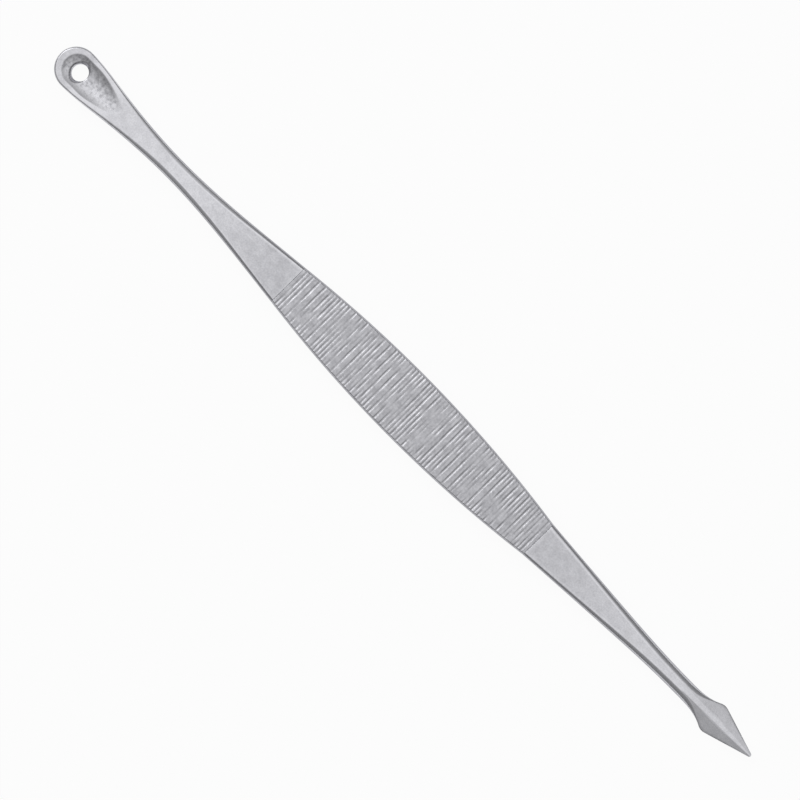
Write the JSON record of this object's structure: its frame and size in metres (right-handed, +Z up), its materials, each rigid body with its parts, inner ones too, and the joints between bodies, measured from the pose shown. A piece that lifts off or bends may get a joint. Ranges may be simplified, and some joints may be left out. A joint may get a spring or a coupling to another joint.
{
  "type": "blackhead extractor",
  "caption": "Slim steel blackhead extractor with a flat cross-ribbed grip, a dished spoon with an eyelet at one end and a ridged lance at the other.",
  "frame": {"origin": "middle of the tool's length and width, on the plane that it lies on", "axes": "+X along the tool from the spoon to the lance, +Z up out of the cupped face"},
  "size_m": [0.125, 0.0086, 0.0025],
  "materials": {
    "satin_steel": "satin, lightly blasted, with softened edges"
  },
  "bodies": {
    "root": {"ribbed_grip": "satin_steel", "spoon_end": "satin_steel", "lance_end": "satin_steel"}
  },
  "joints": []
}
